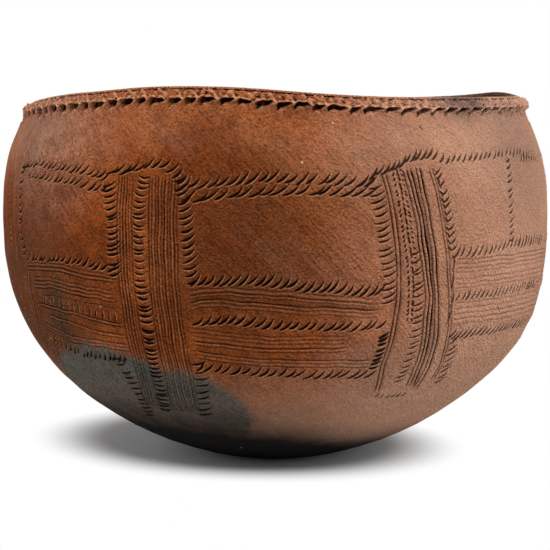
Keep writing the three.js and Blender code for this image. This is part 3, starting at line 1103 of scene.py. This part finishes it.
def paleness_and_painted_light(clay):
    """How pale the clay is: paler to the right, at the neck and low down, partly as pale dust and partly as
    painted light and sheen, and streaked.
    """
    tree = clay.tree
    # Painted light and sheen over pale dust: paler to the right, at the neck and low down, where the lamps
    # fall
    right = add(tree, "MapRange", {"Value": clay.right, 1: 0.02, 2: 0.125, 3: 0.0, 4: 0.83})
    neck = add(tree, "MapRange", {"Value": clay.height, 1: 0.165, 2: 0.2, 3: 0.0, 4: 0.24})
    low = add(tree, "MapRange", {"Value": clay.height, 1: 0.09, 2: 0.05, 3: 0.0, 4: 0.54})
    streaks = add(tree, "Math", {0: clay.wisps, 1: 0.3, 2: clay.broad}, operation="MULTIPLY_ADD")
    pale = right
    for share in (neck, low, streaks):
        pale = add(tree, "Math", {0: pale, 1: share}, operation="ADD")
    return add(tree, "MapRange", {"Value": pale, 1: 0.7, 2: 1.6, 3: 0.0, 4: 0.95})


def food_residue(clay):
    """Food and fat that darken the inside, and the far rim burnt darker."""
    tree = clay.tree
    wiped = add(tree, "MapRange", {"Value": clay.blotches, 1: 0.15, 2: 0.85, 3: 0.45, 4: 0.85})
    far_rim = patch(clay, BURNT_RIM)
    residue = add(tree, "Math", {0: wiped, 1: far_rim}, operation="MAXIMUM")
    residue = add(tree, "Math", {0: clay.within, 1: residue}, operation="MULTIPLY")
    crown = add(tree, "MapRange", {"Value": clay.height, 1: 0.221, 2: 0.225, 3: 0.0, 4: 0.9})
    burnt = add(tree, "Math", {0: crown, 1: far_rim}, operation="MULTIPLY")
    return add(tree, "Math", {0: residue, 1: burnt}, operation="MAXIMUM")


def rubbed_and_highlit(clay, haze, wear_and_highlight):
    """Burrs and ridges rubbed clean and painted pale as a highlight, less where the haze lies over them."""
    tree = clay.tree
    risen = add(tree, "MapRange", {"Value": clay.edge, 1: 0.08, 2: 0.3})
    fallen = add(tree, "MapRange", {"Value": clay.edge, 1: 0.45, 2: 0.85, 3: 1.0, 4: wear_and_highlight})
    calm = add(tree, "MapRange", {"Value": haze, 1: 0.0, 2: 0.7, 3: 1.0, 4: 0.15})
    burr = add(tree, "Math", {0: risen, 1: fallen}, operation="MULTIPLY")
    burr = add(tree, "Math", {0: burr, 1: clay.flank}, operation="MULTIPLY")
    # The comb's ridges are painted paler too, as a highlight
    ridge = add(tree, "Math", {0: clay.ridge, 1: 0.25}, operation="MULTIPLY")
    rubbed = add(tree, "Math", {0: burr, 1: ridge}, operation="MAXIMUM")
    rubbed = add(tree, "Math", {0: rubbed, 1: 0.75 + 0.15 * wear_and_highlight}, operation="MULTIPLY")
    return add(tree, "Math", {0: rubbed, 1: calm}, operation="MULTIPLY")


def smoke_cloud(clay):
    """Smoke cloud low at the front left, with a lobe at its right, ragged edges and faint wisps."""
    tree = clay.tree
    shapes = {0: patch(clay, SMOKE_CLOUD, -1.0), 1: patch(clay, SMOKE_LOBE, -1.0)}
    cloud = add(tree, "Math", shapes, operation="MAXIMUM")
    cloud = add(tree, "Math", {0: clay.drift, 1: 0.8, 2: cloud}, operation="MULTIPLY_ADD")
    edge = {"Value": cloud, 1: 0.6, 2: 1.05}
    cloud = add(tree, "MapRange", edge, interpolation_type="SMOOTHSTEP")
    faint = add(tree, "MapRange", {"Value": clay.wisps, 1: 0.35, 2: 0.65, 3: 0.99, 4: 0.86})
    return add(tree, "Math", {0: cloud, 1: faint}, operation="MULTIPLY")


def soot_and_shade_below(clay):
    """Soot of the cooking fire under the bowl, with painted shade there, which reaches less high at the
    right.
    """
    tree = clay.tree
    clean = add(tree, "MapRange", {"Value": clay.right, 1: -0.03, 2: 0.12, 3: -0.007, 4: 0.024})
    under = add(tree, "Math", {0: clay.height, 1: clean}, operation="ADD")
    under = add(tree, "Math", {0: clay.drift, 1: -0.01, 2: under}, operation="MULTIPLY_ADD")
    edge = {"Value": under, 1: 0.04, 2: 0.01, 3: 0.0, 4: 1.0}
    return add(tree, "MapRange", edge, interpolation_type="SMOOTHSTEP")


def soot_colour(clay, colours, under):
    """Colour of the soot: ashen in places, grained like the clay, and nearly black under the bowl, where
    painted shade lies over the soot.
    """
    tree = clay.tree
    ashen = add(tree, "MapRange", {"Value": clay.blotches, 1: 0.3, 2: 0.8, 3: 0.55, 4: 0.0})
    tone = linear(colours.soot)
    for amount, colour, blend in (
        (ashen, linear(ASHEN_SOOT), "MIX"),
        (0.8, clay.speckle, "MULTIPLY"),
        (under, linear(SOOT_AND_SHADE_BLACK), "MIX"),
    ):
        layer = {"Factor": amount, 6: tone, 7: colour}
        tone = add(tree, "Mix", layer, data_type="RGBA", blend_type=blend)
    return tone


def dirt_and_painted_shade(clay, pale, smoke):
    """Dirt packed in the cuts and grooves, with painted shade in these hollows and in the rim's notches, pits
    and groove, less where the clay is pale and in sooted grooves.
    """
    tree = clay.tree
    clear = add(tree, "MapRange", {"Value": smoke, 3: 0.9, 4: 0.42})
    packed = add(tree, "MapRange", {"Value": pale, 1: 0.15, 2: 0.6, 3: 0.96, 4: 0.75})
    groove = add(tree, "Math", {0: clay.groove, 1: clear}, operation="MULTIPLY")
    # Dirt in the cuts and grooves, with painted shade in these hollows
    dirt = add(tree, "Math", {0: groove, 1: clay.cut}, operation="MAXIMUM")
    return add(tree, "Math", {0: dirt, 1: packed}, operation="MULTIPLY")


def scattered(clay, cells, core, rim, channel, rarity):
    """Specks in some cells of a pattern: those whose random colour channel is over their rarity."""
    tree = clay.tree
    pattern = add(tree, "TexVoronoi", cells)
    speck = add(tree, "MapRange", {"Value": pattern, 1: core, 2: rim, 3: 1.0, 4: 0.0})
    chance = add(tree, "SeparateXYZ", {0: pattern.outputs["Color"]}).outputs[channel]
    some = add(tree, "Math", {0: chance, 1: rarity}, operation="GREATER_THAN")
    return add(tree, "Math", {0: speck, 1: some}, operation="MULTIPLY")


def relief(clay, pit):
    """Relief of the surface, from the finest grit to the cuts."""
    tree = clay.tree
    total = add(tree, "Math", {0: clay.grit, 1: GRIT_BUMP}, operation="MULTIPLY")
    for pattern, height in (
        (clay.lumps, LUMP_BUMP),
        (clay.drag, DRAG_BUMP),
        (clay.mottle, MOTTLE_BUMP),
        (pit, PIT_BUMP),
        (clay.groove, GROOVE_BUMP),
        (clay.cut, CUT_BUMP),
    ):
        total = add(tree, "Math", {0: pattern, 1: height, 2: total}, operation="MULTIPLY_ADD")
    return add(tree, "Bump", {"Strength": 1.0, "Distance": 0.001, "Height": total})


def fired_clay(name, colours, wear_and_highlight):
    """Low-fired terracotta, coiled by hand, smoothed while leather-hard and cut with finger nail and comb.

    Matt and gritty: wandering red-brown tones from the open fire, paler places that are partly dust and
    partly painted light and sheen, drag marks of the smoothing hand, pits of burnt-out chaff and white grit,
    dark packed dirt with painted shade in the cuts, and pale rubbed burrs beside them that are also a painted
    highlight. A smoke cloud and the soot of the cooking fire blacken it below, with painted shade under the
    bowl.
    wear_and_highlight rubs the high places paler and paints them as highlit.
    """
    material = bpy.data.materials.new(name)
    material.use_nodes = True
    tree = material.node_tree
    tree.nodes.clear()
    clay = ClayBody(tree)
    reddened = add(tree, "MapRange", {"Value": clay.clouds, 1: 0.42, 2: 0.58})
    pale = paleness_and_painted_light(clay)
    haze = patches(clay, (RIGHT_HAZE, LIP_SMUDGE), clay.mottle)
    ash = patches(clay, (LEFT_ASH,), clay.mottle)
    scorch = patches(clay, (LEFT_SCORCH, FRONT_SCORCH), clay.blotches)
    grained = add(tree, "MapRange", {"Value": pale, 1: 0.0, 2: 0.6, 3: 1.0, 4: 0.3})
    # Colour of the painted highlight and the rubbing on the high places
    worn_and_highlit = {"Factor": pale, 6: linear(colours.rubbed_and_highlit_clay), 7: linear(PALE_BURR_HIGHLIGHT)}
    worn_and_highlit = add(tree, "Mix", worn_and_highlit, data_type="RGBA")
    # Soot under the bowl with painted shade, darker towards the bottom
    under = soot_and_shade_below(clay)
    smoke = add(tree, "Math", {0: smoke_cloud(clay), 1: under}, operation="MAXIMUM")
    smoke = add(tree, "Math", {0: smoke, 1: clay.outside}, operation="MULTIPLY")

    # White grit of 1 mm here and there on the outside, and pits of 1.6 mm left by chaff
    grit = scattered(clay, {"Vector": clay.place, "Scale": 62.0}, 0.02, 0.045, 0, 0.7)
    grit = add(tree, "Math", {0: grit, 1: clay.outside}, operation="MULTIPLY")
    pit = scattered(clay, {"Vector": clay.drawn, "Scale": 120.0}, 0.05, 0.12, 1, 0.82)
    pit_shade = add(tree, "Math", {0: pit, 1: 0.7}, operation="MULTIPLY")

    # Layers of colour over the deep clay, in the order in which they came
    tone = linear(colours.deep_clay)
    for amount, colour, blend in (
        (reddened, linear(colours.clay), "MIX"),
        (pale, linear(colours.pale_and_lit_clay), "MIX"),
        (haze, linear(HAZE_GREY), "MIX"),
        (ash, linear(ASH_GREY), "MIX"),
        (scorch, linear(SCORCH_BROWN), "MIX"),
        (grained, clay.speckle, "MULTIPLY"),
        (food_residue(clay), linear(FOOD_BROWN), "MIX"),
        (rubbed_and_highlit(clay, haze, wear_and_highlight), worn_and_highlit, "MIX"),
        (smoke, soot_colour(clay, colours, under), "MIX"),
        (dirt_and_painted_shade(clay, pale, smoke), linear(DIRT_AND_SHADE_BROWN), "MIX"),
        (grit, linear(WHITE_GRIT), "MIX"),
        (pit_shade, linear(PIT_BROWN), "MIX"),
    ):
        layer = {"Factor": amount, 6: tone, 7: colour}
        tone = add(tree, "Mix", layer, data_type="RGBA", blend_type=blend)
    matt = add(tree, "MapRange", {"Value": clay.lumps, 1: 0.3, 2: 0.7, 3: 0.76, 4: 0.92})
    skin_of_clay = {
        "Base Color": tone,
        "Roughness": matt,
        "Normal": relief(clay, pit),
        "IOR": 1.3,
        "Specular IOR Level": 0.1,
    }
    shader = add(tree, "BsdfPrincipled", skin_of_clay)
    add(tree, "OutputMaterial", {0: shader})
    return material


class BOWL_OT_base(bpy.types.Operator):
    """Makes the moulded round base, sooted by the fire and with painted shade below"""

    bl_idname = "bowl.base"
    bl_label = "Moulded base"

    def execute(self, context):
        scene = context.scene
        piece = clay_piece("moulded_base", base_grid(scene.bowl_sizes), (BASE_SHELL_HEIGHT,))
        material = fired_clay("sooted_and_shaded_terracotta", scene.bowl_colours, PLAIN_WEAR_AND_HIGHLIGHT)
        finish_piece(piece, "base_shell", material)
        return {"FINISHED"}


class BOWL_OT_courses(bpy.types.Operator):
    """Makes the coiled courses of the wall with their cuts and combing"""

    bl_idname = "bowl.courses"
    bl_label = "Wall courses"

    def execute(self, context):
        scene = context.scene
        material = fired_clay("smoothed_terracotta", scene.bowl_colours, PLAIN_WEAR_AND_HIGHLIGHT)
        for number in range(1, WALL_COURSES + 1):
            low = BASE_SHELL_HEIGHT + (number - 1) * COURSE_HEIGHT
            joints = (low, low + COURSE_HEIGHT)
            piece = clay_piece(f"wall_course_{number}", course_grid(joints, scene.bowl_sizes), joints)
            finish_piece(piece, f"wall_coil_{number}", material)
        return {"FINISHED"}


class BOWL_OT_rim(bpy.types.Operator):
    """Makes the rim coil with its crown, sloping band and notches"""

    bl_idname = "bowl.rim"
    bl_label = "Notched rim"

    def execute(self, context):
        scene = context.scene
        piece = clay_piece("notched_rim", rim_grid(scene.bowl_sizes), (RIM_SEAT,))
        material = fired_clay("rubbed_and_highlit_terracotta", scene.bowl_colours, RIM_WEAR_AND_HIGHLIGHT)
        finish_piece(piece, "rim_coil", material)
        return {"FINISHED"}


# Studio, in metres

# Soft square lights: name, place, point that they aim at, length of a side and power in watts
LAMPS = (
    ("key_softbox", (-0.05, -1.15, 1.05), (0.0, 0.0, 0.12), 0.45, 14.0),
    ("top_softbox", (0.1, -0.1, 1.6), (0.0, 0.0, 0.1), 1.6, 6.0),
    ("right_softbox", (1.3, -0.45, 0.6), (0.0, 0.0, 0.12), 1.0, 17.0),
    ("left_softbox", (-1.3, -0.2, 0.6), (0.0, 0.0, 0.12), 0.9, 12.0),
)

# White table, with a painted shadow: an oval of pale grey paper round the bowl, set where its shadow falls,
# that fades into the white
TABLE_RADIUS = 6.0
SHADOW_OVAL_MIDDLE = (-0.02, 0.03, 0.0)
SHADOW_OVAL_TURN = (0.0, 0.0, -0.63)
SHADOW_OVAL_STRETCH = (1.12, 0.94, 1.0)
SHADOW_OVAL_FULL = 0.084
SHADOW_OVAL_GONE = 0.136

# Strength of the table's and the sky's white in the light that they throw on the bowl. The camera sees 1.
TABLE_GLOW = 0.7
SKY_GLOW = 0.4

# Camera at the photograph's viewing angle
CAMERA_PLACE = (0.0, -1.1298, 0.2301)
CAMERA_TILT = 84.0  # degrees up from straight down
CAMERA_SENSOR = 36.0  # mm
CAMERA_LENS = 117.5  # mm


def lamp(name, place, aim, size, power):
    """Square soft light."""
    data = bpy.data.lights.new(name, "AREA")
    data.shape = "SQUARE"
    data.size = size
    data.energy = power
    light = bpy.data.objects.new(name, data)
    light.location = place
    light.rotation_euler = (Vector(aim) - Vector(place)).to_track_quat("-Z", "Y").to_euler()
    bpy.context.scene.collection.objects.link(light)


def white_where_seen(tree, cast):
    """Strength 1 for camera, glossy and transmission rays, and another for the light cast on the bowl."""
    path = add(tree, "LightPath")
    seen = path.outputs["Is Camera Ray"]
    for ray in ("Is Glossy Ray", "Is Transmission Ray"):
        seen = add(tree, "Math", {0: seen, 1: path.outputs[ray]}, operation="MAXIMUM")
    return add(tree, "MapRange", {"Value": seen, 3: cast, 4: 1.0})


def table_paper():
    """Matt uncoated paper with a painted shadow: grey round the bowl where its shadow falls, and plain white
    beyond.
    """
    paper = bpy.data.materials.new("white_paper_with_painted_shadow")
    paper.use_nodes = True
    tree = paper.node_tree
    tree.nodes.clear()
    there = add(tree, "TexCoord").outputs["Object"]
    fibre = add(tree, "TexNoise", {"Vector": there, "Scale": 900.0})
    # Painted shadow: the grey of the oval darkens the floor where the bowl's shadow falls
    shade = add(tree, "MapRange", {"Value": fibre, 3: 0.41, 4: 0.44})
    sheet = add(tree, "BsdfDiffuse", {"Color": shade})
    glow = add(tree, "Emission", {"Strength": white_where_seen(tree, TABLE_GLOW)})
    oval = {"Vector": there, "Location": SHADOW_OVAL_MIDDLE, "Rotation": SHADOW_OVAL_TURN, "Scale": SHADOW_OVAL_STRETCH}
    oval = add(tree, "Mapping", oval, vector_type="TEXTURE")
    away = add(tree, "VectorMath", {0: oval}, operation="LENGTH")
    fade = {"Value": away, 1: SHADOW_OVAL_FULL, 2: SHADOW_OVAL_GONE, 3: 0.0, 4: 1.0}
    fade = add(tree, "MapRange", fade, interpolation_type="SMOOTHSTEP")
    lit = add(tree, "MixShader", {0: fade, 1: sheet, 2: glow})
    add(tree, "OutputMaterial", {0: lit})
    return paper


def lay_table():
    """Round table top at the height of the ground."""
    bm = bmesh.new()
    bmesh.ops.create_circle(bm, cap_ends=True, radius=TABLE_RADIUS, segments=96)
    mesh = bpy.data.meshes.new("table")
    bm.to_mesh(mesh)
    bm.free()
    mesh.materials.append(table_paper())
    table = bpy.data.objects.new("table", mesh)
    bpy.context.scene.collection.objects.link(table)


def white_background():
    """World that is white behind the bowl and throws a weaker light on it."""
    world = bpy.data.worlds.new("studio")
    world.use_nodes = True
    tree = world.node_tree
    tree.nodes.clear()
    white = {"Color": (1.0, 1.0, 1.0, 1.0), "Strength": white_where_seen(tree, SKY_GLOW)}
    sky = add(tree, "Background", white)
    add(tree, "OutputWorld", {0: sky})
    return world


def photo_camera():
    """Camera at the photograph's viewing angle."""
    data = bpy.data.cameras.new("camera")
    data.sensor_width = CAMERA_SENSOR
    data.lens = CAMERA_LENS
    camera = bpy.data.objects.new("camera", data)
    camera.location = CAMERA_PLACE
    camera.rotation_euler = (np.radians(CAMERA_TILT), 0.0, 0.0)
    bpy.context.scene.collection.objects.link(camera)
    return camera


class BOWL_OT_studio(bpy.types.Operator):
    """Sets the white table, the soft lights and the camera"""

    bl_idname = "bowl.studio"
    bl_label = "Studio"

    def execute(self, context):
        scene = context.scene
        scene.view_settings.view_transform = "Standard"
        lay_table()
        scene.world = white_background()
        for settings in LAMPS:
            lamp(*settings)
        scene.camera = photo_camera()
        return {"FINISHED"}


class BOWL_PT_panel(bpy.types.Panel):
    """Lists the settings and the steps"""

    bl_idname = "BOWL_PT_panel"
    bl_label = "Cooking bowl"
    bl_space_type = "VIEW_3D"
    bl_region_type = "UI"
    bl_category = "Cooking bowl"

    def draw(self, context):
        for settings in (context.scene.bowl_sizes, context.scene.bowl_colours):
            for name in settings.bl_rna.properties.keys():
                if name not in ("rna_type", "name"):
                    self.layout.prop(settings, name)
        for step in STEPS:
            self.layout.operator(step.bl_idname)


STEPS = (BOWL_OT_base, BOWL_OT_courses, BOWL_OT_rim, BOWL_OT_studio)
CLASSES = (BowlSizes, BowlColours, BOWL_PT_panel) + STEPS


def register():
    for item in CLASSES:
        bpy.utils.register_class(item)
    bpy.types.Scene.bowl_sizes = bpy.props.PointerProperty(type=BowlSizes)
    bpy.types.Scene.bowl_colours = bpy.props.PointerProperty(type=BowlColours)


def unregister():
    del bpy.types.Scene.bowl_colours
    del bpy.types.Scene.bowl_sizes
    for item in reversed(CLASSES):
        bpy.utils.unregister_class(item)


def main():
    register()
    bpy.ops.bowl.base()
    bpy.ops.bowl.courses()
    bpy.ops.bowl.rim()
    bpy.ops.bowl.studio()


if __name__ == "__main__":
    main()
